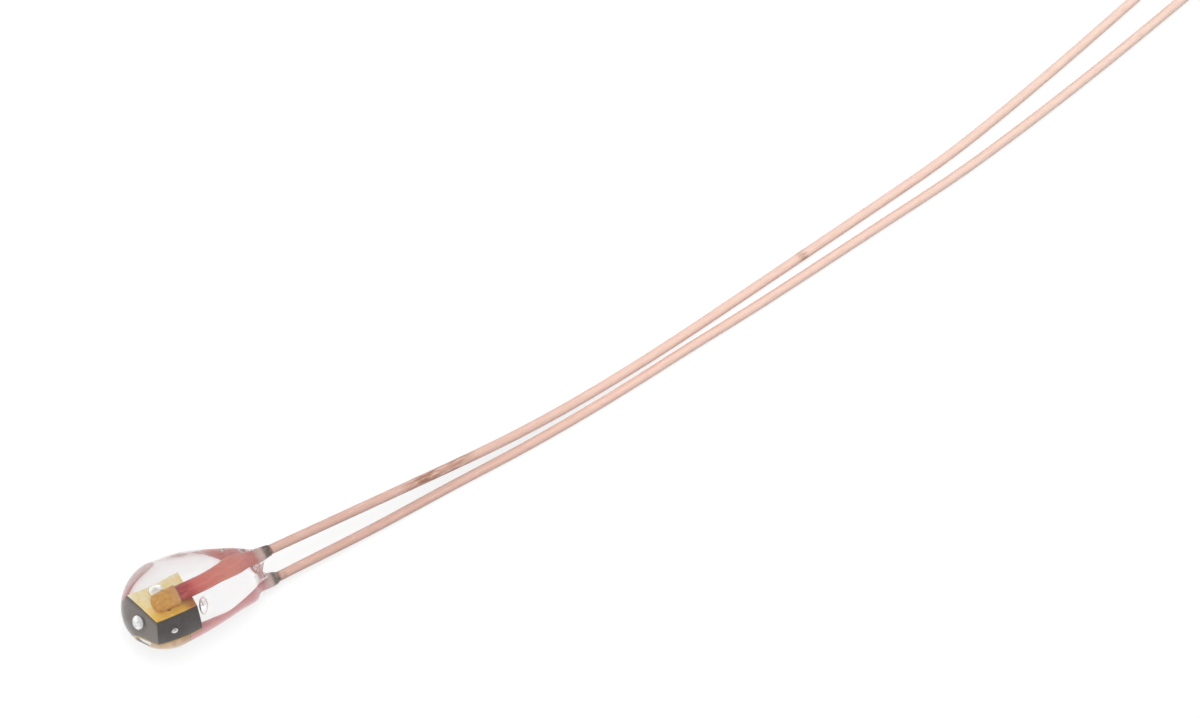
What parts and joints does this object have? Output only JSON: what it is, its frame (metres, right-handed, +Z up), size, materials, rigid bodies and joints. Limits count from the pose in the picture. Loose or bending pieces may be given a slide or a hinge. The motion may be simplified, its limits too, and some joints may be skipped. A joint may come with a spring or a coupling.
{
  "type": "ntc thermistor",
  "caption": "Glass-sealed bead thermistor: a gold-faced oxide chip in a clear glass drop, with two bare stiff copper-clad wire leads.",
  "frame": {"origin": "on the table, under the middle of the whole part as it lies", "axes": "+X along the part from the glass bead to the wires' cut ends, +Z up from the table"},
  "size_m": [0.0422, 0.0034, 0.0023],
  "materials": {
    "clear_glass": "fire-polished clear glass",
    "dark_oxide": "dull sintered metal oxide",
    "gold_film": "satin gold film",
    "gold_paste": "fired gold paste",
    "clad_wire": "copper-clad wire, dull pale copper outside the glass and red oxide inside it"
  },
  "bodies": {
    "root": {"glass_bead": "clear_glass", "sensing_chip": "dark_oxide", "upper_electrode": "gold_film", "lower_electrode": "gold_film", "upper_bond": "gold_paste", "lower_bond": "gold_paste", "upper_lead": "clad_wire", "lower_lead": "clad_wire"}
  },
  "joints": []
}
